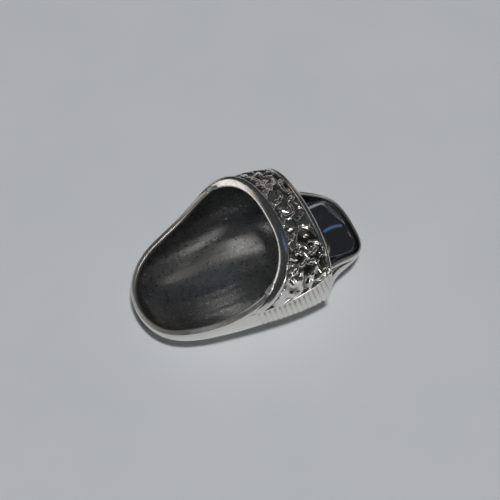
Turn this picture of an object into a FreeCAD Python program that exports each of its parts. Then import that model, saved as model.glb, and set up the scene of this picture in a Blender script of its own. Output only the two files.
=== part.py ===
import FreeCAD, Part
import math
import os

# Open-nail thimble ring, in millimetres.
# X runs along the finger, from the long scoop (-X) to the short tongue (+X).
# Z is up: the nail side is up and the ribbed pad side rests at Z = 0.
# The origin is the middle of the overall length, on the resting plane.

# --- driving dimensions -----------------------------------------------------
OVERALL_LENGTH = 32.4
SCOOP_LENGTH = 15.4          # from the notches to the tip of the scoop
BAND_HALF_WIDTH = 10.5       # outside, at the middle of the band
SHELL_HALF_WIDTH = 10.2      # outside, at the notches
SHELL_WALL = 0.85            # wall of the scoop
SINK = 0.35                  # how far the shell is let in under the band and the grip
WIDEST_HEIGHT = 8.6          # height of the widest line at the notches
BAND_TOP = 16.5              # top of the band above its front edge
ROOF_SLOPE = 0.42            # drop of the roof per mm towards the tongue
ROOF_BEND = 1.05             # roof height above BAND_TOP where the two slopes would meet
SCOOP_TAPER = 0.25           # loss of half width per mm towards the scoop's tip
TONGUE_TAPER = 0.30          # the same towards the tongue's tip
SCOOP_FALL = 0.35            # drop of the shell's upper line per mm towards the scoop's tip
SOFTNESS = 2.0               # length over which the slopes change at the notches
ARCH_THICKNESS = 1.0         # shell and band together, at the top
FRONT_BORDER_WIDTH = 1.2
BACK_BORDER_WIDTH = 0.9
BORDER_RISE = 0.18           # how far the plain borders stand above the band
GRIP_MARGIN = 0.7            # bare strip between the lined plate and the tongue's rim
FLAT_DEPTH = 0.07            # how much of the band's lowest line is worn flat at Z = 0
SCOOP_PLAN_POWER = 6.5       # how blunt the scoop's end is, seen from above
TONGUE_PLAN_POWERS = (14, 1 / 2.8)
SCOOP_TIP_RISE = 3.2         # underside of the tip above the resting plane
TONGUE_TIP_RISE = 4.2
SCOOP_TIP_DROP = 3.9         # drop of the widest line from the notches to the tip
TONGUE_TIP_DROP = 3.5
LOWER_POWER = 2.2            # squareness of the sections: 2 is an ellipse
SHELL_UPPER_POWER = 2.6
BAND_UPPER_POWER = 2.3
BAND_WAIST = 0.018           # narrowing of the band away from its middle, per mm squared
BAND_MIDDLE_X = 4.0
HEEL_RISE = 0.1              # lift of the band's underside at the back, per mm squared
HEEL_START_X = 6.0
SINK_START_X = 4.5           # the shell is fully let in from here on
ROOT_X = 8.4                 # where the tongue grows out of the band
ROOT_FLARE = 1.5             # extra half width there
ROOT_SPREAD = 1.9            # how far along X the flare reaches
CARVING_RADIUS = 0.85
CARVING_DEPTH = 0.34
CARVING_ROWS = 13
CARVING_COLUMNS = 3
CARVING_PITCH = 1.7          # along the finger

NOTCH_X = SCOOP_LENGTH - OVERALL_LENGTH / 2
TONGUE_LENGTH = OVERALL_LENGTH - SCOOP_LENGTH
BIG = 40.0                   # larger than the thimble, for cutting blocks
POINTS_PER_HALF = 12

# Side-view edges, as (x from the notches, z).
SCOOP_RIM = [(-17.0, 4.3), (-15.0, 4.9), (-11.5, 6.3), (-6.6, 7.7), (-3.5, 9.3), (0.0, 12.2)]
ARCH_FRONT = [(0.0, 12.2), (0.9, 13.0), (3.4, 15.0), (7.0, 17.4)]
BAND_FRONT_BELOW = [(-3.4, -1.0), (-3.8, 4.0), (-4.2, 7.0), (-3.2, 9.0), (-2.0, 10.1), (0.0, 12.2)]
BAND_BACK = [(8.6, -1.0), (8.5, 6.0), (8.6, 9.0), (10.3, 14.5)]
TONGUE_RIM = [(7.0, 9.2), (11.4, 7.6), (13.3, 6.7), (15.0, 5.8), (18.0, 4.6)]
PAD_LINE = [(-8.0, 8.1), (14.0, 12.0)]


# --- the shell's form, with x measured from the notches -----------------------
def bend(x, before, after):
    """A line through the notches whose slope eases from before to after."""
    swing = (after - before) / 2 * (math.hypot(x, SOFTNESS) - SOFTNESS / 2)
    return (before + after) / 2 * x + swing


def form_half_width(x):
    """Half the plan width: tapering both ways, with a round scoop and a squarer tongue."""
    if x < 0:
        blunt = math.sqrt(1.0 - (-x / SCOOP_LENGTH) ** SCOOP_PLAN_POWER)
    else:
        steep, corner = TONGUE_PLAN_POWERS
        blunt = (1.0 - (x / TONGUE_LENGTH) ** steep) ** corner
    return (SHELL_HALF_WIDTH + bend(x, SCOOP_TAPER, -TONGUE_TAPER)) * blunt


def form_bottom(x):
    if x < -2.0:
        return SCOOP_TIP_RISE * ((-2.0 - x) / (SCOOP_LENGTH - 2.0)) ** 2.4
    if x > 7.0:
        return TONGUE_TIP_RISE * ((x - 7.0) / (TONGUE_LENGTH - 7.0)) ** 2
    return 0.0


def widest_height(x):
    if x < 0:
        return WIDEST_HEIGHT - SCOOP_TIP_DROP * (-x / SCOOP_LENGTH) ** 1.2
    return WIDEST_HEIGHT - TONGUE_TIP_DROP * (x / TONGUE_LENGTH) ** 2.5


def band_top(x):
    return BAND_TOP + ROOF_BEND + bend(x, 0.0, -ROOF_SLOPE)


def shell_top(x):
    """The shell's upper line, let in under the band's roof."""
    return BAND_TOP + ROOF_BEND - ARCH_THICKNESS + SHELL_WALL + bend(x, SCOOP_FALL, -ROOF_SLOPE)


def sink(x):
    """How far the shell is let in: nothing on the scoop, SINK from the band on."""
    if x > SINK_START_X:
        return SINK
    return SINK / (1.0 + ((SINK_START_X - x) / 5.0) ** 8)


def root_flare(x):
    """Extra half width where the tongue grows out of the band."""
    return ROOT_FLARE * math.exp(-((x - ROOT_X) / ROOT_SPREAD) ** 2)


def half_oval(x, half_width, middle, reach, power):
    """The upper (reach > 0) or lower half of an oval, from +Y round to -Y."""
    points = []
    for i in range(POINTS_PER_HALF + 1):
        angle = math.pi * i / POINTS_PER_HALF
        across = math.copysign(abs(math.cos(angle)) ** (2 / power), math.cos(angle))
        up = abs(math.sin(angle)) ** (2 / power)
        points.append(FreeCAD.Vector(x + NOTCH_X, across * half_width, middle + up * reach))
    upright = FreeCAD.Vector(0, 0, math.copysign(1.0, reach))
    curve = Part.BSplineCurve()
    curve.interpolate(Points=points, InitialTangent=upright, FinalTangent=-upright)
    return curve.toShape()


def section(x, half_width, low, middle, high, lower_power=LOWER_POWER, upper_power=SHELL_UPPER_POWER):
    """A closed smooth wire across the finger at x: a squarish oval."""
    upper = half_oval(x, half_width, middle, high - middle, upper_power)
    lower = half_oval(x, half_width, middle, low - middle, lower_power)
    return Part.Wire([upper, lower])


def shell_section(x, inset, shrink=1.0):
    """The shell's form at x, drawn inset and pulled in towards the notches."""
    half_width = form_half_width(x) - inset
    low = form_bottom(x) + inset
    middle = max(widest_height(x), low + 0.5)
    high = max(shell_top(x) - inset, middle + 0.5)
    return section(x * shrink, max(half_width, 0.3), low, middle, high)


def stations():
    """Places along X where sections are drawn, closer together at both ends."""
    scoop = [-SCOOP_LENGTH * k for k in (0.998, 0.985, 0.96, 0.92, 0.86, 0.78, 0.66, 0.52, 0.36, 0.18)]
    band = [0.0, 2.0, 4.5, 7.0, 9.0]
    tongue = [TONGUE_LENGTH * k for k in (0.63, 0.73, 0.81, 0.87, 0.92, 0.96, 0.985, 0.997)]
    return scoop + band + tongue


def loft(wires, straight=False):
    """A closed solid through the sections, facing outwards."""
    solid = Part.makeLoft(wires, True, straight)
    if solid.Volume < 0:
        solid.reverse()
    return solid


def make_form():
    """The outside of the tongue with its flared root, for the lined plate."""
    wires = []
    for x in [TONGUE_LENGTH * k for k in (0.3, 0.4, 0.5, 0.6, 0.7, 0.8, 0.87, 0.93)]:
        middle = widest_height(x)
        wires.append(section(x, form_half_width(x) + root_flare(x), form_bottom(x), middle, middle + 6))
    return loft(wires)


def make_shell_outside():
    return loft([shell_section(x, sink(x)) for x in stations()], straight=True)


def make_passage():
    """The space for the finger, inside the shell."""
    shrink = 1.0 - SHELL_WALL / SCOOP_LENGTH
    return loft([shell_section(x, SHELL_WALL, shrink) for x in stations()], straight=True)


def band_section(x, rise):
    """The band's outside at x, grown by rise."""
    half_width = BAND_HALF_WIDTH - BAND_WAIST * (x - BAND_MIDDLE_X) ** 2 + rise
    low = HEEL_RISE * max(x - HEEL_START_X, 0.0) ** 2 - FLAT_DEPTH - min(rise, 0.0)
    high = band_top(x) + rise
    return section(x, half_width, low, widest_height(x) + 0.2, high, upper_power=BAND_UPPER_POWER)


def make_band_blank(rise=0.0):
    """The band's outside, all round the finger, before the openings are cut."""
    return loft([band_section(x, rise) for x in (-5.0, -2.5, 0.0, 2.5, 5.0, 7.5, 10.0, 12.5)])


# --- cutting blocks, drawn in side view and run across the whole width --------
def side_point(x, z):
    return FreeCAD.Vector(x + NOTCH_X, -BIG, z)


def side_curve(points, shift=0.0):
    curve = Part.BSplineCurve()
    curve.interpolate([side_point(x + shift, z) for x, z in points])
    return curve.toShape()


def side_block(edges, corners):
    """A block whose outline is the given edges, closed through the given corners."""
    start = edges[0].firstVertex().Point
    end = edges[-1].lastVertex().Point
    ring = [end] + [side_point(x, z) for x, z in corners] + [start]
    lines = [Part.makeLine(a, b) for a, b in zip(ring[:-1], ring[1:])]
    face = Part.Face(Part.Wire(edges + lines))
    return face.extrude(FreeCAD.Vector(0, 2 * BIG, 0))


def scoop_opening():
    """Everything above the scoop's rim and in front of the arch."""
    return side_block([side_curve(SCOOP_RIM), side_curve(ARCH_FRONT)], [(7.0, BIG), (-BIG, BIG), (-BIG, 4.3)])


def tongue_opening():
    """Everything above the tongue's rim and behind the band."""
    above_rim = side_block([side_curve(TONGUE_RIM)], [(BIG, 4.6), (BIG, BIG), (7.0, BIG)])
    return above_rim.common(behind_band())


def front_of_band(shift=0.0):
    edges = [side_curve(BAND_FRONT_BELOW, shift), side_curve(ARCH_FRONT, shift)]
    return side_block(edges, [(7.0 + shift, BIG), (-BIG, BIG), (-BIG, -1.0)])


def behind_band(shift=0.0):
    return side_block([side_curve(BAND_BACK, shift)], [(10.3 + shift, BIG), (BIG, BIG), (BIG, -1.0)])


def below_pad_line():
    return side_block([side_curve(PAD_LINE)], [(14.0, -BIG), (-8.0, -BIG)])


def above_pad_line():
    return side_block([side_curve(PAD_LINE)], [(14.0, BIG), (-8.0, BIG)])


def carving(blank):
    """Round hollows over the arch, in staggered rows, standing in for the leaf work."""
    balls = []
    for row in range(CARVING_ROWS):
        angle = math.radians(12 + 156 * row / (CARVING_ROWS - 1))
        leaning_back = 2.2 * math.sin(angle) ** 2
        for column in range(CARVING_COLUMNS):
            x = 1.4 + leaning_back + CARVING_PITCH * (column + 0.5 * (row % 2))
            middle = widest_height(x) + 0.2
            reach_y = BAND_HALF_WIDTH + CARVING_RADIUS - CARVING_DEPTH
            reach_z = band_top(x) - middle + CARVING_RADIUS - CARVING_DEPTH
            y = math.copysign(abs(math.cos(angle)) ** (2 / BAND_UPPER_POWER), math.cos(angle)) * reach_y
            z = middle + math.sin(angle) ** (2 / BAND_UPPER_POWER) * reach_z
            balls.append(Part.makeSphere(CARVING_RADIUS, FreeCAD.Vector(x + NOTCH_X, y, z)))
    return blank.cut(balls)


def largest(shape):
    """The main solid of a cut, without the crumbs that thin edges leave."""
    return max(shape.Solids, key=lambda solid: solid.Volume)


# --- the pieces ---------------------------------------------------------------
def make_pad_shell(shell_outside):
    shell = shell_outside.cut(scoop_opening()).cut(tongue_opening())
    return largest(shell.cut(make_passage()))


def make_rib_grip(blank):
    rest_plane = Part.makeBox(2 * BIG, 2 * BIG, BIG, FreeCAD.Vector(-BIG, -BIG, -BIG))
    return largest(blank.cut(above_pad_line()).cut(rest_plane))


def make_ring_band(arch):
    trimmed = arch.cut(front_of_band(FRONT_BORDER_WIDTH)).cut(behind_band(-BACK_BORDER_WIDTH))
    return largest(carving(trimmed))


def make_tongue_grip(shell_outside):
    margin_line = side_curve([(x, z - GRIP_MARGIN) for x, z in TONGUE_RIM])
    above_margin = side_block([margin_line], [(18.0, BIG), (7.0, BIG)])
    plate = make_form().common(behind_band()).cut(above_margin)
    return largest(plate.cut(shell_outside))


def trimmed_band(shell_outside, rise=0.0):
    return make_band_blank(rise).cut(front_of_band()).cut(behind_band()).cut(shell_outside)


def make_parts():
    shell_outside = make_shell_outside()
    blank = trimmed_band(shell_outside)
    raised = trimmed_band(shell_outside, BORDER_RISE).cut(below_pad_line())
    return {
        "pad_shell": make_pad_shell(shell_outside),
        "ring_band": make_ring_band(blank.cut(below_pad_line())),
        "front_border": largest(raised.common(front_of_band(FRONT_BORDER_WIDTH))),
        "back_border": largest(raised.common(behind_band(-BACK_BORDER_WIDTH))),
        "rib_grip": make_rib_grip(blank),
        "tongue_grip": make_tongue_grip(shell_outside),
    }


def main():
    os.makedirs("parts", exist_ok=True)
    for name, shape in make_parts().items():
        print(name, round(shape.Volume, 2), shape.isValid())
        shape.exportStep("parts/" + name + ".step")


main()
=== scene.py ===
import math

import bmesh
import bpy
import numpy as np
from mathutils import Matrix, Vector


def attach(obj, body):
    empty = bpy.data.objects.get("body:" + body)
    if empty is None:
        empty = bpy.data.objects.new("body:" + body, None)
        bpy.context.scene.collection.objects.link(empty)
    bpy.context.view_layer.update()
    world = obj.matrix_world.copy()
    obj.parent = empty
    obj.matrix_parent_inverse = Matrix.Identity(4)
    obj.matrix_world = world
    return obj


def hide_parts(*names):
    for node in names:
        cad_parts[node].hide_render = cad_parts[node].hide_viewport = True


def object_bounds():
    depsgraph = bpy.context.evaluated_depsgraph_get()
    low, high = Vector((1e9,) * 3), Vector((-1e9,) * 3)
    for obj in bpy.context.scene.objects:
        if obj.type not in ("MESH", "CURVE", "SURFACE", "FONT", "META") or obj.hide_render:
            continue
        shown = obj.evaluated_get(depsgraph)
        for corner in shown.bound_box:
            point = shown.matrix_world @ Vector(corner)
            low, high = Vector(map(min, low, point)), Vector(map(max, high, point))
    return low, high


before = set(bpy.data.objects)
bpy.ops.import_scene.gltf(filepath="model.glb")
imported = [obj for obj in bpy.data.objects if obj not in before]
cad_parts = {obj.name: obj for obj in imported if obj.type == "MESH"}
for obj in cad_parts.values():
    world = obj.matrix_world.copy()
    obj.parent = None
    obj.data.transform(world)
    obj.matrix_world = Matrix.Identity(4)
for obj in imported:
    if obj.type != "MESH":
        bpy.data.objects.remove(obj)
cad_low, cad_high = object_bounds()

# Open-nail thimble ring. Shapes are worked out in millimetres, with x measured from the notches.
MM = 0.001
SCOOP = 15.4                 # notches to the tip of the scoop
TONGUE = 17.0                # notches to the tip of the tongue
CAD_TIP = 0.998              # the CAD's scoop ends at this share of SCOOP
NOTCH_X = cad_low.x / MM + CAD_TIP * SCOOP
NOTCH_Z = 12.2
ROOT_X = 8.6                 # where the tongue leaves the band

SHELL_HALF_WIDTH = 10.2      # before the tapers ease it
BAND_HALF_WIDTH = 10.5
WIDEST_Z = 8.6               # height of the widest line at the notches
SCOOP_TAPER, TONGUE_TAPER = 0.25, 0.30       # loss of half width per mm
SCOOP_FALL, ROOF_SLOPE = 0.35, 0.42          # drop of the upper lines per mm
SOFTNESS = 2.0               # length over which those slopes change at the notches
SHELL_TOP, BAND_TOP = 17.4, 17.55            # where the slopes of each upper line would meet
SCOOP_PLAN = (6.5, 2.0)      # how blunt each end is in plan: the powers of its outline
TONGUE_PLAN = (14, 2.8)
SCOOP_TIP_RISE, TONGUE_TIP_RISE = 3.2, 4.0   # underside of the tips above the table
SCOOP_TIP_DROP, TONGUE_TIP_DROP = 3.9, 3.5   # drop of the widest line at the tips
LOWER_POWER, SHELL_POWER, BAND_POWER = 2.2, 2.6, 2.3     # squareness of the sections; 2 is an ellipse

WALL = 0.85
SINK = 0.35                  # how far the shell is let in under the band
TIP_THINNING = (12.0, 16.4)  # the tongue's wall thins over this stretch
GRIP_MARGIN = 0.7            # bare strip above the lined plate


# --- smooth curves ------------------------------------------------------------
def spline(points):
    """A natural cubic through (a, b) points: b as a function of a, straight beyond the ends."""
    a, b = (np.array(c, float) for c in zip(*points))
    h = np.diff(a)
    n = len(a)
    m = np.zeros((n, n))
    r = np.zeros(n)
    m[0, 0] = m[-1, -1] = 1.0
    for i in range(1, n - 1):
        m[i, i - 1 : i + 2] = h[i - 1], 2 * (h[i - 1] + h[i]), h[i]
        r[i] = 6 * ((b[i + 1] - b[i]) / h[i] - (b[i] - b[i - 1]) / h[i - 1])
    c = np.linalg.solve(m, r)

    def at(q):
        q = np.asarray(q, float)
        i = np.clip(np.searchsorted(a, q) - 1, 0, n - 2)
        inside = np.clip(q, a[0], a[-1])
        u, v = a[i + 1] - inside, inside - a[i]
        s = h[i]
        value = (c[i] * u**3 + c[i + 1] * v**3) / (6 * s)
        value = value + (b[i] / s - c[i] * s / 6) * u + (b[i + 1] / s - c[i + 1] * s / 6) * v
        slope = np.where(
            q < a[0],
            (b[1] - b[0]) / h[0] - c[1] * h[0] / 6,
            (b[-1] - b[-2]) / h[-1] + c[-2] * h[-1] / 6,
        )
        return value + slope * (q - inside)

    return at


def flipped(points):
    return [(z, x) for x, z in points]


scoop_rim = spline([(-17.0, 4.3), (-15.0, 4.9), (-11.5, 6.3), (-6.6, 7.7), (-3.5, 9.3), (0.0, 12.2)])
tongue_rim = spline([(7.0, 9.2), (11.4, 7.6), (13.3, 6.7), (15.0, 5.8), (18.0, 4.6)])
front_above = spline(flipped([(0.0, 12.2), (0.9, 13.0), (3.4, 15.0), (7.0, 17.4)]))
front_below = spline(flipped([
    (-3.4, -1.0), (-3.8, 4.0), (-4.2, 7.0), (-3.2, 9.0), (-2.0, 10.1), (0.0, 12.2),
]))
band_back = spline(flipped([(8.6, -1.0), (8.5, 6.0), (8.6, 9.0), (10.3, 14.5)]))


def band_front(z):
    return np.where(z < NOTCH_Z, front_below(z), front_above(z))


def pad_line(x):
    """Side-view height of the seam between the arch and the ribbed plate."""
    return 8.1 + (x + 8.0) * (12.0 - 8.1) / 22.0


def smooth(a, b, q):
    """0 up to a, 1 from b on, eased between."""
    u = np.clip((q - a) / (b - a), 0.0, 1.0)
    return u * u * (3 - 2 * u)


# --- the two forms --------------------------------------------------------------
def reach(x):
    """0 at the notches and 1 at either tip."""
    return np.clip(np.where(x < 0, -x / SCOOP, x / TONGUE), 0.0, 1.0)


def bend(x, before, after):
    """A line through the notches whose slope eases from before to after."""
    swing = (after - before) / 2 * (np.sqrt(x * x + SOFTNESS**2) - SOFTNESS / 2)
    return (before + after) / 2 * x + swing


def blunt(r, plan):
    """The share of the half width left at reach r."""
    steep, corner = plan
    return np.maximum(1 - r**steep, 0) ** (1 / corner)


def blunt_reach(share, plan):
    """The reach at which a share of the half width is left."""
    steep, corner = plan
    return (1 - share**corner) ** (1 / steep)


def half_width(x):
    r = reach(x)
    left = np.where(x < 0, blunt(r, SCOOP_PLAN), blunt(r, TONGUE_PLAN))
    return (SHELL_HALF_WIDTH + bend(x, SCOOP_TAPER, -TONGUE_TAPER)) * left


def bottom(x):
    """The lowest line, rising towards both tips and rounding up to the rim there."""
    scoop_from, tongue_from = 2.0, 7.0
    low = SCOOP_TIP_RISE * (np.maximum(-scoop_from - x, 0) / (SCOOP - scoop_from)) ** 2.4
    low = low + TONGUE_TIP_RISE * (np.maximum(x - tongue_from, 0) / (TONGUE - tongue_from)) ** 1.4
    rim = np.where(x < 0, scoop_rim(x), tongue_rim(x))
    turn_from = np.where(x < 0, 0.88, 0.965)
    turn = np.clip((reach(x) - turn_from) / (1 - turn_from), 0, 1)
    return low + 0.9 * (rim - low) * (1 - np.sqrt(1 - turn**2))


def widest(x):
    r = reach(x)
    return WIDEST_Z - np.where(x < 0, SCOOP_TIP_DROP * r**1.2, TONGUE_TIP_DROP * r**2.5)


def sink(x):
    away = np.maximum(4.5 - x, 0) / 5.0
    return SINK / (1 + away**8)


def let_in(x):
    """How far the shell's outside lies under the form; it comes back out at the tongue's tip."""
    return sink(x) - 0.3 * smooth(*TIP_THINNING, x)


def wall_depth(x):
    """How far the shell's inside lies under the form."""
    return WALL - 0.38 * smooth(*TIP_THINNING, x)


# Each shape gives, over x: half width, lowest, widest and highest z, and the lower and upper powers.
def shell_shape(x):
    low = bottom(x)
    middle = np.maximum(widest(x), low + 0.5)
    high = np.maximum(SHELL_TOP + bend(x, SCOOP_FALL, -ROOF_SLOPE), middle + 0.5)
    return half_width(x), low, middle, high, LOWER_POWER, SHELL_POWER


def band_shape(x):
    heel = 0.1 * np.maximum(x - 6, 0) ** 2 - 0.07
    wide = BAND_HALF_WIDTH - 0.018 * (x - 4) ** 2
    return wide, heel, widest(x) + 0.2, BAND_TOP + bend(x, 0.0, -ROOF_SLOPE), LOWER_POWER, BAND_POWER


def grip_shape(x):
    """The tongue's outside with its flared root."""
    middle = widest(x)
    flare = 1.5 * np.exp(-(((x - 8.4) / 1.9) ** 2))
    return half_width(x) + flare, bottom(x), middle, middle + 6, LOWER_POWER, SHELL_POWER


def oval(t, shape):
    """y and z at angle t round a section: -pi/2 is the bottom and pi/2 the top."""
    wide, low, middle, high, lower, upper = shape
    c, s = np.cos(t), np.sin(t)
    power = np.where(s >= 0, upper, lower)
    up = np.where(s >= 0, high - middle, low - middle)
    return wide * np.abs(c) ** (2 / power), middle + up * np.abs(s) ** (2 / power)


class Skin:
    """A form's surface. g = 0 is the bottom line, +1 the top line round the +Y side, -1 round -Y."""

    def __init__(self, shape, x_low, x_high, step=0.05, count=401):
        self.shape, self.x_low, self.x_high = shape, x_low, x_high
        xs = np.linspace(x_low, x_high, int((x_high - x_low) / step) + 1)
        t = np.linspace(-math.pi / 2, math.pi / 2, 1201)
        parts = [a if np.isscalar(a) else a[:, None] for a in shape(xs)]
        y, z = oval(t[None, :], parts)
        run = np.cumsum(np.hypot(np.diff(y, axis=1), np.diff(z, axis=1)) + 1e-9, axis=1)
        run = np.concatenate([np.zeros((len(xs), 1)), run], axis=1)
        self.length = run[:, -1]
        self.xs = xs
        even = np.linspace(0, 1, count)
        self.angles = np.array([np.interp(even * r[-1], r, t) for r in run])

    def at(self, x, g):
        x, g = np.broadcast_arrays(np.asarray(x, float), np.asarray(g, float))
        x = np.clip(x, self.x_low, self.x_high)
        g = (g + 1) % 2 - 1
        rows, count = self.angles.shape
        i = np.clip((x - self.x_low) / (self.x_high - self.x_low) * (rows - 1), 0, rows - 1.0001)
        j = np.clip(np.abs(g) * (count - 1), 0, count - 1.0001)
        i0, j0 = i.astype(int), j.astype(int)
        u, v = i - i0, j - j0
        T = self.angles
        t = (T[i0, j0] * (1 - v) + T[i0, j0 + 1] * v) * (1 - u)
        t = t + (T[i0 + 1, j0] * (1 - v) + T[i0 + 1, j0 + 1] * v) * u
        y, z = oval(t, self.shape(x))
        return np.stack([x, np.where(g < 0, -y, y), z], axis=-1)

    def normal(self, x, g):
        x, g = np.broadcast_arrays(np.asarray(x, float), np.asarray(g, float))
        along = self.at(x, g + 0.003) - self.at(x, g - 0.003)
        forward = self.at(np.minimum(x + 0.02, self.x_high), g)
        n = np.cross(along, forward - self.at(np.maximum(x - 0.02, self.x_low), g))
        size = np.linalg.norm(n, axis=-1, keepdims=True)
        end = np.stack([np.sign(x), 0 * x, 0 * x], axis=-1)
        return np.where(size > 1e-9, n / np.maximum(size, 1e-12), end)

    def off(self, x, g, out):
        """The point at a distance out from the surface."""
        return self.at(x, g) + self.normal(x, g) * np.asarray(out)[..., None]


shell = Skin(shell_shape, -SCOOP, TONGUE)
band = Skin(band_shape, -5.0, 12.5)
grip = Skin(grip_shape, 7.0, 16.6)


def bisect(test, low, high, count=40):
    """Where test changes from negative to positive, element by element."""
    low, high = np.array(low, float), np.array(high, float)
    for _ in range(count):
        mid = (low + high) / 2
        below = test(mid) < 0
        low, high = np.where(below, mid, low), np.where(below, high, mid)
    return (low + high) / 2


def reach_height(skin, x, z):
    """The g at which the surface over x is at height z."""
    x = np.asarray(x, float)
    return bisect(lambda g: skin.at(x, g)[..., 2] - z, np.zeros(x.shape), np.ones(x.shape))


def reach_curve(skin, g, curve, shift=0.0):
    """The x at which the surface over g crosses a side-view curve x = curve(z) + shift."""
    g = np.asarray(g, float)

    def test(x):
        p = skin.at(x, g)
        return p[..., 0] - curve(p[..., 2]) - shift

    return bisect(test, np.full(g.shape, -4.5), np.full(g.shape, 12.0))


# --- mesh helpers ---------------------------------------------------------------
def sheet(index, flip=False):
    """Quads over a 2-D array of vertex numbers."""
    a, b, c, d = index[:-1, :-1], index[:-1, 1:], index[1:, 1:], index[1:, :-1]
    quads = np.stack([a, b, c, d] if not flip else [a, d, c, b], axis=-1)
    return quads.reshape(-1, 4)


def build(name, node, points, faces, materials, face_material=None, values=None):
    """A smooth mesh that stands for a CAD node; values say how deep in the relief's hollows each point
    lies, which sets the shade painted there.
    """
    verts = (np.asarray(points) + [NOTCH_X, 0, 0]) * MM
    mesh = bpy.data.meshes.new(name)
    mesh.from_pydata(verts.tolist(), [], [list(map(int, f)) for f in faces])
    for m in materials:
        mesh.materials.append(m)
    if face_material is not None:
        mesh.polygons.foreach_set("material_index", np.asarray(face_material, np.int32))
    if values is not None:
        layer = mesh.attributes.new("hollow_shade", "FLOAT", "POINT")
        layer.data.foreach_set("value", np.asarray(values, np.float32))
    work = bmesh.new()
    work.from_mesh(mesh)
    bmesh.ops.remove_doubles(work, verts=work.verts, dist=2e-7)
    bmesh.ops.recalc_face_normals(work, faces=work.faces)
    work.to_mesh(mesh)
    work.free()
    mesh.polygons.foreach_set("use_smooth", np.ones(len(mesh.polygons), bool))
    obj = bpy.data.objects.new(name, mesh)
    bpy.context.scene.collection.objects.link(obj)
    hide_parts(node)
    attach(obj, "root")


# --- materials ------------------------------------------------------------------
def node_tree(name):
    material = bpy.data.materials.new(name)
    material.use_nodes = True
    nodes = material.node_tree.nodes
    return material, nodes, material.node_tree.links, nodes["Principled BSDF"]


def add(nodes, kind, **inputs):
    """A new node with the given constants in its sockets."""
    node = nodes.new(kind)
    for key, value in inputs.items():
        node.inputs[key].default_value = value
    return node


def noise(nodes, links, place, size_mm, detail, rough=0.55):
    node = add(nodes, "ShaderNodeTexNoise", Scale=1 / (size_mm * MM), Detail=detail, Roughness=rough)
    links.new(place, node.inputs["Vector"])
    return node.outputs["Fac"]


def ramp(nodes, links, value, *stops):
    """value turned into a colour, or a grey, through stops of (place, colour)."""
    node = nodes.new("ShaderNodeValToRGB")
    links.new(value, node.inputs["Fac"])
    elements = node.color_ramp.elements
    while len(elements) < len(stops):
        elements.new(0.5)
    for element, (at, colour) in zip(elements, stops):
        element.position = at
        element.color = (*colour, 1) if len(colour) == 3 else (colour[0],) * 3 + (1,)
    return node.outputs["Color"]


def mixed(nodes, links, share, first, second):
    """first where share is 0, the constant colour second where it is 1."""
    mix = nodes.new("ShaderNodeMix")
    mix.data_type = "RGBA"
    share_socket, first_socket, second_socket = mix.inputs[0], mix.inputs[6], mix.inputs[7]
    links.new(share, share_socket)
    links.new(first, first_socket)
    second_socket.default_value = (*second, 1)
    return mix.outputs[2]


def bumped(nodes, links, height, distance_mm, below=None):
    """A bump laid over the normal of the bump below it."""
    bump = add(nodes, "ShaderNodeBump", Strength=1.0, Distance=distance_mm * MM)
    links.new(height, bump.inputs["Height"])
    if below is not None:
        links.new(below, bump.inputs["Normal"])
    return bump.outputs["Normal"]


def plated(name, tint, rough, grain_mm, grain_height, speck_glint=0.0, hollow_shade=None, streak=0.0):
    """Plated metal: tint, roughness from (smooth, dull) and a fine surface grain. Then, where given, the
    height of raised specks, which are also painted near white as glints, the colour of the shade painted
    into the hollows, and the height of long waves along the finger."""
    material, nodes, links, shader = node_tree(name)
    shader.inputs["Metallic"].default_value = 1.0
    place = nodes.new("ShaderNodeTexCoord").outputs["Object"]
    cloud = noise(nodes, links, place, 2.6, 2.0)
    colour = ramp(nodes, links, cloud, (0.3, [c * 0.93 for c in tint]), (0.7, tint))
    low, high = rough
    patches = noise(nodes, links, place, 0.5, 4.0, 0.65)
    links.new(ramp(nodes, links, patches, (0.35, (low,)), (0.7, (high,))), shader.inputs["Roughness"])
    normal = bumped(nodes, links, noise(nodes, links, place, grain_mm, 3.0, 0.6), grain_height)
    # painted shade: the relief's hollows, read from the mesh, are darkened towards the hollow colour
    if hollow_shade is not None:
        depth = nodes.new("ShaderNodeAttribute")
        depth.attribute_name = "hollow_shade"
        colour = mixed(nodes, links, depth.outputs["Fac"], colour, hollow_shade)
    if streak:
        along = add(nodes, "ShaderNodeMapping", Scale=(0.16, 1.0, 1.0))
        links.new(place, along.inputs["Vector"])
        wave = noise(nodes, links, along.outputs["Vector"], 3.2, 1.5)
        normal = bumped(nodes, links, wave, streak, normal)
    # raised dots whose colour is also painted near white: painted glints on the satin
    if speck_glint:
        dots = add(nodes, "ShaderNodeTexVoronoi", Scale=1 / (0.42 * MM))
        links.new(place, dots.inputs["Vector"])
        glint_peak = ramp(nodes, links, dots.outputs["Distance"], (0.05, (1,)), (0.22, (0,)))
        normal = bumped(nodes, links, glint_peak, speck_glint, normal)
        colour = mixed(nodes, links, glint_peak, colour, (0.95, 0.95, 0.93))
    links.new(colour, shader.inputs["Base Color"])
    links.new(normal, shader.inputs["Normal"])
    return material


polished = plated("polished_nickel", (0.86, 0.84, 0.80), (0.12, 0.22), 0.25, 0.004)
# the insides get a far darker tint than the polished outside: painted shade inside the shell
satin = plated(
    "shaded_satin_inside", (0.42, 0.425, 0.43), (0.25, 0.37), 0.10, 0.006, speck_glint=0.0008, streak=0.45,
)
mirror = plated("shaded_mirror_inside", (0.42, 0.43, 0.46), (0.05, 0.09), 0.4, 0.001)
# a rougher crest metal with a lighter cream tint: the tint is a painted highlight along the lip's crest
matt_crest_highlight = plated("matt_crest_highlight", (0.93, 0.90, 0.84), (0.34, 0.46), 0.2, 0.01)
# the dark hollow colour of the carved band is painted shade in the relief's hollows
carved = plated("carved_nickel", (0.88, 0.86, 0.82), (0.06, 0.12), 0.30, 0.008, hollow_shade=(0.22, 0.21, 0.20))


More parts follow.
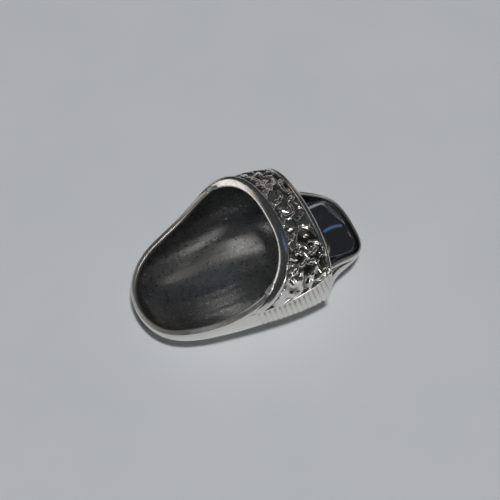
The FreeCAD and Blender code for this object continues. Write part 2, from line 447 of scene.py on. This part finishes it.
# --- the shell --------------------------------------------------------------------
LIP_HEIGHT = 1.75            # in half thicknesses
CREST_FROM, CREST_TO = 4, 12                 # the steps of the lip's profile that get the matt crest metal, whose lighter cream tint is a painted highlight
# The lip's profiles in half thicknesses, from the outside (+1) over the crest to the inside (-1):
# a thin edge with a steep outer slope on the near side, and a rounder one on the far side.
LIP_NEAR = np.array([
    (0.99, 0.30), (0.93, 0.62), (0.80, 0.95), (0.60, 1.25), (0.35, 1.50), (0.05, 1.72), (-0.30, 1.88),
    (-0.60, 1.96), (-0.80, 1.90), (-0.92, 1.65), (-0.98, 1.2), (-1.0, 0.6),
])
LIP_FAR = np.array([
    (1.0, 0.35), (0.98, 0.75), (0.90, 1.10), (0.72, 1.40), (0.45, 1.58), (0.15, 1.68), (-0.20, 1.74),
    (-0.52, 1.76), (-0.76, 1.68), (-0.90, 1.45), (-0.98, 1.1), (-1.0, 0.5),
])


def lip_half(x):
    """Half the thickness of the shell's edge."""
    return (wall_depth(x) - let_in(x)) / 2


def lip_foot(rim, x):
    """The height at which the lip starts, below the rim."""
    return rim(x) - lip_half(x) * LIP_HEIGHT


def tip_of(rim, length):
    """Where the foot of the lip leaves the bottom line; beyond it the tip is all lip."""
    x = length * np.linspace(0.95, 1.0, 2001)
    under = lip_foot(rim, x) <= bottom(x)
    under[-1] = True
    return x[np.argmax(under)]


def band_ends(columns, notch, root):
    """Where the shell under the arch starts and ends along X, for each column g."""
    height = np.abs(columns)
    front = reach_curve(shell, height, band_front) + 0.65 * smooth(notch, notch + 0.06, height)
    back = reach_curve(shell, height, band_back, -0.1) - 0.4 * smooth(root, root + 0.12, height)
    return np.where(height > notch, front, 0.0), np.where(height > root, back, ROOT_X)


def shell_grid():
    """x and g of every point, and the vertex numbers of the scoop, the band's part and the tongue.

    Columns run from the near rim under the bottom line to the far rim, and under the arch back again.
    The tongue shares the middle columns, from first_tongue up to its mirror image.
    """
    notch = float(reach_height(shell, 0.0, NOTCH_Z - 0.5))
    root = float(reach_height(shell, ROOT_X, tongue_rim(ROOT_X) - 0.3))
    to_root = np.linspace(0, root, 44)
    to_notch = np.linspace(root, notch, 26)[1:]
    half = np.concatenate([to_root, to_notch])
    low = np.concatenate([-half[:0:-1], half])
    up = np.linspace(notch, 1, 40)[1:]
    columns = np.concatenate([low, up, -up[-2::-1]])
    first_tongue = len(to_notch)

    tip = blunt_reach(np.linspace(0, 0.75, 30), SCOOP_PLAN)
    scoop_x = tip_of(scoop_rim, -SCOOP) * np.concatenate([tip, np.linspace(tip[-1], 0, 66)[1:]])
    span = reach_height(shell, scoop_x, lip_foot(scoop_rim, scoop_x))
    span[-1] = notch
    scoop_xs = np.repeat(scoop_x[:, None], len(low), 1)
    scoop_gs = span[:, None] * low[None, :] / notch

    x_front, x_back = band_ends(columns, notch, root)
    share = np.linspace(0, 1, 40)[1:, None]
    band_xs = x_front[None, :] * (1 - share) + x_back[None, :] * share
    band_gs = np.repeat(columns[None, :], len(share), 0)

    end_x = tip_of(tongue_rim, TONGUE) * blunt_reach(np.linspace(0.8, 0, 30), TONGUE_PLAN)
    tongue_x = np.concatenate([np.linspace(ROOT_X, end_x[0], 36)[1:], end_x[1:]])
    span = reach_height(shell, tongue_x, lip_foot(tongue_rim, tongue_x))
    middle = low[first_tongue : len(low) - first_tongue]
    tongue_xs = np.repeat(tongue_x[:, None], len(middle), 1)
    tongue_gs = span[:, None] * middle[None, :] / root

    arch = np.arange(len(low), len(columns))
    x = np.concatenate([scoop_xs.ravel(), x_front[arch], band_xs.ravel(), tongue_xs.ravel()])
    g = np.concatenate([scoop_gs.ravel(), columns[arch], band_gs.ravel(), tongue_gs.ravel()])

    scoop = np.arange(scoop_xs.size).reshape(scoop_xs.shape)
    front_row = np.concatenate([scoop[-1], scoop_xs.size + np.arange(len(arch))])
    start = scoop_xs.size + len(arch)
    ring = np.vstack([front_row, start + np.arange(band_xs.size).reshape(band_xs.shape)])
    ring = np.hstack([ring, ring[:, :1]])                    # closed round the finger
    start += band_xs.size
    tongue = start + np.arange(tongue_xs.size).reshape(tongue_xs.shape)
    tongue = np.vstack([ring[-1, first_tongue : len(low) - first_tongue], tongue])
    return x, g, scoop, ring, tongue


def lip_rings(outer, inner, normal, turn):
    """The lip's points over an open edge, one ring for each point of its profile."""
    centre = (outer + inner) / 2
    radius = np.linalg.norm(outer - inner, axis=1) / 2
    run = np.roll(centre, -1, 0) - np.roll(centre, 1, 0)
    run[0] = run[-1] = centre[1] - centre[-2]                # both ends are the same point at the tip
    away = turn * np.cross(normal, run)
    away /= np.maximum(np.linalg.norm(away, axis=1, keepdims=True), 1e-9)
    far = smooth(-4.0, 4.0, centre[:, 1])[:, None]
    rings = []
    for near_point, far_point in zip(LIP_NEAR, LIP_FAR):
        across, rise = np.split(near_point * (1 - far) + far_point * far, 2, axis=1)
        rings.append(centre + radius[:, None] * (normal * across + away * rise))
    return rings


def make_shell():
    x, g, scoop, ring, tongue = shell_grid()
    form = shell.at(x, g)
    normal = shell.normal(x, g)
    outer = form - normal * let_in(x)[:, None]
    inner = form - normal * wall_depth(x)[:, None]
    count = len(x)

    materials = [polished, satin, mirror, matt_crest_highlight]
    outside, rough_inside, tongue_inside, crest = range(4)
    points, faces, kinds = [outer, inner], [], []
    for part, inside in ((scoop, rough_inside), (ring, rough_inside), (tongue, tongue_inside)):
        for quads, kind in ((sheet(part), outside), (sheet(part, True) + count, inside)):
            faces.append(quads)
            kinds.append(np.full(len(quads), kind))

    # the scoop's edge runs over the arch; the tongue's edge runs under the band's back
    n_low, n_tongue = scoop.shape[1], tongue.shape[1]
    first = (n_low - n_tongue) // 2
    front_loop = np.concatenate([scoop[:, -1], ring[0, n_low:-1], scoop[::-1, 0]])
    far_side, near_side = ring[-1, first + n_tongue : -1], ring[-1, :first]
    back_loop = np.concatenate([tongue[::-1, -1], far_side, near_side, tongue[:, 0]])
    total = 2 * count
    for loop, turn in ((front_loop, -1), (back_loop, 1)):
        lip = lip_rings(outer[loop], inner[loop], normal[loop], turn)
        numbers = total + np.arange(len(lip) * len(loop)).reshape(len(lip), len(loop))
        total += numbers.size
        points += lip
        faces.append(sheet(np.vstack([loop, numbers, loop + count])))
        kind = np.full((len(lip) + 1, len(loop) - 1), outside)
        kind[CREST_FROM:CREST_TO] = crest
        kinds.append(kind.ravel())
    build(
        "scoop_shell", "pad_shell",
        np.concatenate(points), np.concatenate(faces), materials, np.concatenate(kinds),
    )


# --- the band, its borders and the grips -------------------------------------------
EDGE = np.linspace(0, 1, 801)        # g, from the bottom line to the top line
FLANK = (0.45, 0.95)                 # the front border widens here, from the top (0) to the pad line (1)


def table_of(curve, shift):
    """x as a function of g, where the band's surface crosses a shifted side-view curve."""
    found = reach_curve(band, EDGE, curve, shift)
    return lambda g: np.interp(np.abs(g), EDGE, found)


pad_x = np.linspace(-4.5, 12.0, 166)
pad_g = reach_height(band, pad_x, pad_line(pad_x))


def pad_edge(x):
    """g of the pad line on the band."""
    return np.interp(x, pad_x, pad_g)


def settle(start, g_of, x_from, x_to, s):
    """x and g over a patch whose ends are side-view curves and whose sides depend on x."""
    x = start
    for _ in range(8):
        g = g_of(x)
        x = x_from(g) * (1 - s) + x_to(g) * s
    return x, g_of(x)


def slab(name, node, outer, inner, material, values=None):
    """A closed plate from two matching grids of points."""
    rows, cols = outer.shape[:2]
    count = rows * cols
    index = np.arange(count).reshape(rows, cols)
    faces = [sheet(index), sheet(index, True) + count]
    ring = np.concatenate([index[0, :-1], index[:-1, -1], index[-1, :0:-1], index[::-1, 0]])
    faces.append(sheet(np.array([ring, ring + count])))
    points = np.concatenate([outer.reshape(-1, 3), inner.reshape(-1, 3)])
    if values is not None:
        values = np.concatenate([values.ravel(), np.ones(count)])
    return build(name, node, points, np.concatenate(faces), [material], None, values)


LEAF_TRIES = 6000
LEAF_SPACING = 1.12          # between the middles of two leaves
LEAF_LENGTH = (0.75, 1.3)    # half lengths
LEAF_WIDTH = (0.36, 0.60)    # half widths
VEINED_FROM = 0.42           # leaves wider than this have a groove along the middle
RELIEF = 0.44                # from the ground to the crests


def leaf_places(rng, u, v):
    places = []
    for _ in range(LEAF_TRIES):
        place = np.array([rng.uniform(u.min(), u.max()), rng.uniform(v.min(), v.max())])
        if all(np.hypot(*(place - other)) > LEAF_SPACING for other in places):
            places.append(place)
    return places


def add_leaf(height, u, v, place, rng):
    """Raise height to a curled leaf with random turn and size; u and v are in mm."""
    turn = rng.uniform(0, math.pi) if rng.random() < 0.5 else rng.choice([0.7, -0.7]) + rng.normal(0, 0.25)
    long, wide = rng.uniform(*LEAF_LENGTH), rng.uniform(*LEAF_WIDTH)
    curl = rng.uniform(-0.55, 0.55)
    tall = rng.uniform(0.85, 1.0)
    du, dv = u - place[0], v - place[1]
    a = du * math.cos(turn) + dv * math.sin(turn)
    b = -du * math.sin(turn) + dv * math.cos(turn) - curl * (a * a - 0.2)
    near = (np.abs(a) < long) & (np.abs(b) < wide * 1.2)
    a, b = a[near], b[near]
    outline = wide * np.sqrt(np.clip(1 - (a / long) ** 2, 0, 1)) + 1e-6
    across = np.clip(np.abs(b) / outline, 0, 1)
    crown = tall * np.clip(1 - across**5.0, 0, 1) ** 0.8 * (1 + 0.12 * np.cos(a * 5.0 + place[0]))
    if wide > VEINED_FROM:
        crown = crown - 0.4 * np.exp(-((b / 0.07) ** 2)) * (np.abs(a) < 0.7 * long)
    height[near] = np.maximum(height[near], crown)


def leaf_relief(u, v, seed):
    """Leaf relief over u (mm round the arch) and v (mm along the finger): 0 ground, 1 crest."""
    rng = np.random.default_rng(seed)
    height = np.zeros(u.shape)
    for place in leaf_places(rng, u, v):
        add_leaf(height, u, v, place, rng)
    for _ in range(7):
        for axis in (0, 1):
            height = (np.roll(height, 1, axis) + 2 * height + np.roll(height, -1, axis)) / 4
    return height


def make_carved_band():
    half = 270
    v = np.linspace(-1, 1, 2 * half + 1)[:, None]      # near pad line .. top .. far pad line
    s = np.linspace(0, 1, 104)[None, :]
    behind_bead, x_to = table_of(band_front, 0.72), table_of(band_back, -0.8)

    def x_from(g):
        return behind_bead(g) + 0.55 * smooth(*FLANK, np.abs(v))

    def g_of(x):
        return 1 - np.abs(v) * (1 - pad_edge(x))

    x, f = settle(np.full((v.size, s.size), 4.0), g_of, x_from, x_to, s)
    g = np.where(v < 0, -f, f)
    p = band.at(x, g)
    n = band.normal(x, g)
    step = np.linalg.norm(np.diff(p, axis=0), axis=-1)
    run = np.concatenate([np.zeros((1, s.size)), np.cumsum(step, axis=0)])
    raised = leaf_relief(run - run[half], x, 7)
    raised = raised * (0.25 + 0.75 * smooth(0.0, 0.05, s) * smooth(0.0, 0.05, 1 - s))
    raised = np.maximum(raised, smooth(0.965, 0.995, np.abs(v)) * np.ones_like(s))
    outer = p + n * (RELIEF * (raised - 1))[..., None]
    inner = p - n * 0.6
    # how deep each point lies in the hollows; this share darkens them as painted shade
    hollow_shade = np.clip(1 - raised * 1.3, 0, 1)
    slab("carved_band", "ring_band", outer, inner, carved, hollow_shade)


# Profiles of the plain borders as (d, rise, t): d is the distance behind the border's outer edge,
# t is 0 at the band's surface and 1 at the passage. The front one is rounder on the near side.
FRONT_FOOT = [(0.62, 0.0, 1.0), (0.30, 0.0, 1.0), (0.13, 0.0, 0.985), (0.04, 0.0, 0.94)]
FRONT_NEAR = FRONT_FOOT + [
    (0.0, 0.0, 0.87), (0.0, 0.0, 0.76), (0.01, 0.0, 0.65), (0.03, 0.0, 0.54), (0.07, 0.0, 0.42),
    (0.12, 0.0, 0.29), (0.18, 0.0, 0.16), (0.25, 0.0, 0.05), (0.33, 0.07, 0.0), (0.44, 0.12, 0.0),
    (0.58, 0.13, 0.0), (0.72, 0.06, 0.0), (0.80, 0.0, 0.15), (0.84, 0.0, 0.5),
]
FRONT_FAR = FRONT_FOOT + [
    (0.0, 0.0, 0.87), (0.0, 0.0, 0.76), (0.0, 0.0, 0.65), (0.0, 0.0, 0.54), (0.0, 0.0, 0.42),
    (0.0, 0.0, 0.33), (0.0, 0.0, 0.24), (0.03, 0.0, 0.10), (0.12, 0.05, 0.0), (0.26, 0.12, 0.0),
    (0.44, 0.13, 0.0), (0.64, 0.06, 0.0), (0.76, 0.0, 0.15), (0.82, 0.0, 0.5),
]
BACK = [
    (-0.85, 0.0, 0.5), (-0.85, 0.0, 0.2), (-0.82, 0.0, 0.03), (-0.74, 0.08, 0.0), (-0.6, 0.15, 0.0),
    (-0.42, 0.17, 0.0), (-0.25, 0.13, 0.0), (-0.12, 0.02, 0.0), (-0.03, 0.0, 0.12), (0.0, 0.0, 0.3),
    (0.0, 0.0, 0.6), (-0.02, 0.0, 0.85), (-0.1, 0.0, 0.97), (-0.3, 0.0, 1.0), (-0.7, 0.0, 1.0),
]


def make_border(name, node, curve, foot, near_profile, far_profile):
    """A plain border swept over the arch along a side-view curve. foot is the g where it ends."""
    front = curve is band_front
    v = np.linspace(-1, 1, 301)
    f = 1 - np.abs(v) * (1 - foot)
    g = np.where(v < 0, -f, f)
    base_x = reach_curve(band, f, curve)
    base = band.at(base_x, g)
    to_passage = ((base - shell.at(base_x, g)) * band.normal(base_x, g)).sum(-1) + WALL
    deep, widen = to_passage + 0.02, 1.0
    if front:                                    # below the notches it only goes down to the shell
        over_arch = smooth(NOTCH_Z - 0.35, NOTCH_Z + 0.35, base[:, 2])
        to_shell = to_passage - WALL + sink(base_x) + 0.2
        deep = to_shell * (1 - over_arch) + deep * over_arch
        widen = 0.8 + 0.95 * smooth(*FLANK, np.abs(v))
    fade = smooth(0.0, 0.04, 1 - np.abs(v))
    far = smooth(-2.0, 5.0, base[:, 1])
    rings = []
    for near_point, far_point in zip(near_profile, far_profile):
        d, rise, t = [a + (b - a) * far for a, b in zip(near_point, far_point)]
        depth = t * deep - rise * (0.3 + 0.7 * fade)

        def past_edge(x):
            p = band.off(x, g, -depth)
            return p[..., 0] - curve(p[..., 2]) - d * widen

        x = bisect(past_edge, np.full(g.shape, -4.9), np.full(g.shape, 12.4))
        rings.append(band.off(x, g, -depth))
    points = np.array(rings).transpose(1, 0, 2)          # along the path, round the profile
    rows, cols = points.shape[:2]
    index = np.arange(rows * cols).reshape(rows, cols)
    closed = np.concatenate([index, index[:, :1]], axis=1)
    faces = [list(q) for q in sheet(closed)] + [list(index[0]), list(index[-1][::-1])]
    build(name, node, points.reshape(-1, 3), faces, [polished])


def ribs(phase, groove):
    """1 on the crests and 0 in the bottoms of grooves, one for each whole phase; groove is their share."""
    gap = np.abs((phase % 1.0) - 0.5) * 2              # 0 in the middle of a crest, 1 in a groove
    return 1 - smooth(1 - groove, 1.0, gap)


def make_rib_plate():
    pitch, lean, rib_depth = 0.72, 0.23, 0.2
    v = np.linspace(-1, 1, 221)[:, None]
    s = np.linspace(0, 1, 261)[None, :]
    x_from, x_to = table_of(band_front, 0.02), table_of(band_back, 0.0)

    def g_of(x):
        return np.abs(v) * pad_edge(x)

    x, f = settle(np.full((v.size, s.size), 3.0), g_of, x_from, x_to, s)
    g = np.where(v < 0, -f, f)
    p, n = band.at(x, g), band.normal(x, g)
    crest = ribs((x + lean * p[..., 2]) / pitch, 0.5)
    inset = smooth(0.0, 0.035, 1 - np.abs(v)) * smooth(0.0, 0.02, s) * smooth(0.0, 0.03, 1 - s)
    depth = -rib_depth * (1 - crest) * inset + 0.02 * inset - 0.05
    outer = p + n * depth[..., None]
    outer[..., 2] = np.maximum(outer[..., 2], 0.0)
    heel = smooth(4.0, 8.0, x)[..., None]              # behind, the plate fills the space to the shell
    inner = (p - n * 0.5) * (1 - heel) + shell.off(x, g, -let_in(x) - 0.05) * heel
    slab("rib_plate", "rib_grip", outer, inner, polished)


def make_tongue_plate():
    pitch, line_depth = 0.3, 0.05
    x_from, x_to = ROOT_X - 0.25, 15.9
    v = np.linspace(-1, 1, 161)[:, None]
    s = np.linspace(0, 1, 230)[None, :]
    x = np.repeat(x_from + (x_to - x_from) * s, v.size, 0)
    edge_x = np.linspace(8.0, 16.5, 120)
    edge_z = tongue_rim(edge_x) - GRIP_MARGIN
    g = v * np.interp(x, edge_x, reach_height(grip, edge_x, edge_z))
    shell_g = v * np.interp(x, edge_x, reach_height(shell, edge_x, edge_z))
    crest = ribs(x / pitch, 0.7)
    inset = smooth(0.0, 0.05, 1 - np.abs(v)) * smooth(0.0, 0.06, 1 - s)
    depth = line_depth * (crest - 1) * inset - 0.2 * (1 - inset)
    outer = grip.off(x, g, depth)
    inner = shell.off(x, shell_g, -let_in(x) - 0.12)
    slab("tongue_plate", "tongue_grip", outer, inner, polished)


front_foot = float(reach_height(band, -1.6, pad_line(-1.6)))
back_foot = float(reach_height(band, 9.0, pad_line(ROOT_X)))
make_shell()
make_carved_band()
make_border("front_border_bead", "front_border", band_front, front_foot, FRONT_NEAR, FRONT_FAR)
make_border("back_border_bead", "back_border", band_back, back_foot, BACK, BACK)
make_rib_plate()
make_tongue_plate()


# --- stage ------------------------------------------------------------------------
def make_table():
    half = 3.0
    corners = [(-half, -half), (half, -half), (half, half), (-half, half)]
    mesh = bpy.data.meshes.new("table_top")
    mesh.from_pydata([(x, y, cad_low.z) for x, y in corners], [], [(0, 1, 2, 3)])
    table, nodes, links, shader = node_tree("pale_table")
    place = nodes.new("ShaderNodeTexCoord").outputs["Object"]
    cloud = noise(nodes, links, place, 18.0, 2.0)
    colour = ramp(nodes, links, cloud, (0.3, (0.70, 0.735, 0.755)), (0.7, (0.72, 0.75, 0.77)))
    links.new(colour, shader.inputs["Base Color"])
    shader.inputs["Roughness"].default_value = 0.7
    mesh.materials.append(table)
    floor = bpy.data.objects.new("table_top", mesh)
    bpy.context.scene.collection.objects.link(floor)


LAMP_DISTANCE = 2.0          # metres, from a point inside the thimble
LAMP_AIM = Vector((0, 0, 0.008))


def lamp(name, direction, size, power, colour, lights_table=False):
    """A softbox that is only seen in the metal, or one that only lights the table."""
    light = bpy.data.lights.new(name, "AREA")
    light.shape = "RECTANGLE"
    light.size, light.size_y = size
    light.energy = power
    light.color = colour
    obj = bpy.data.objects.new(name, light)
    towards = Vector(direction).normalized()
    obj.location = LAMP_AIM + towards * LAMP_DISTANCE
    obj.rotation_mode = "QUATERNION"
    obj.rotation_quaternion = towards.to_track_quat("Z", "Y")
    obj.visible_diffuse = lights_table
    obj.visible_glossy = not lights_table
    bpy.context.scene.collection.objects.link(obj)


def make_lamps():
    above = (-0.10, -0.33, 0.94)
    lamp("key", above, (0.16, 0.16), 24.0, (1.0, 0.985, 0.985), lights_table=True)
    lamp("spark", above, (0.16, 0.16), 4.0, (1.0, 0.97, 0.92))
    lamp("front", (0.12, -0.85, 0.5), (0.5, 0.3), 5.0, (1.0, 0.96, 0.92))
    lamp("window", (-0.79, 0.49, 0.42), (0.95, 0.4), 1.25, (1.0, 0.97, 0.90))
    lamp("blue_gap", (-0.36, 0.27, 0.89), (0.13, 0.9), 0.12, (0.3, 0.6, 1.0))
    lamp("blue_ceiling", (0.2, 0.15, 0.95), (0.7, 0.5), 0.06, (0.5, 0.7, 1.0))
    lamp("warm_wall", (0.54, 0.68, 0.45), (0.5, 0.4), 0.6, (1.0, 0.80, 0.56))
    lamp("grey_wall", (0.49, -0.27, 0.83), (0.3, 0.6), 0.3, (1.0, 0.93, 0.85))
    lamp("near_wall", (0.1, -0.96, 0.22), (2.4, 0.9), 3.2, (1.0, 0.99, 0.97))
    lamp("far_wall", (-0.5, 0.86, 0.1), (0.9, 0.5), 0.5, (1.0, 0.99, 0.97))


def make_room():
    world = bpy.data.worlds.new("dim_room")
    world.use_nodes = True
    background = world.node_tree.nodes["Background"]
    background.inputs["Color"].default_value = (0.036, 0.038, 0.042, 1)
    background.inputs["Strength"].default_value = 1.0
    bpy.context.scene.world = world
    bpy.context.scene.view_settings.view_transform = "Standard"


def make_camera():
    camera = bpy.data.cameras.new("camera")
    camera.sensor_width = 36.0
    camera.lens = 163.5
    camera.clip_start, camera.clip_end = 0.01, 10.0
    azimuth, elevation = math.radians(-25.8), math.radians(57.0)
    distance, to_right, down = 0.3, 0.001255, 0.001387       # metres, from the notches
    flat = Vector((math.sin(azimuth), -math.cos(azimuth), 0)) * math.cos(elevation)
    back = flat + Vector((0, 0, math.sin(elevation)))
    right = Vector((math.cos(azimuth), math.sin(azimuth), 0))
    up = back.cross(right)
    notches = Vector((NOTCH_X * MM, 0, 0.012))
    aim = notches + right * to_right - up * down
    obj = bpy.data.objects.new("camera", camera)
    obj.location = aim + back * distance
    obj.rotation_mode = "QUATERNION"
    obj.rotation_quaternion = Matrix((right, up, back)).transposed().to_quaternion()
    bpy.context.scene.collection.objects.link(obj)
    bpy.context.scene.camera = obj


make_table()
make_lamps()
make_room()
make_camera()
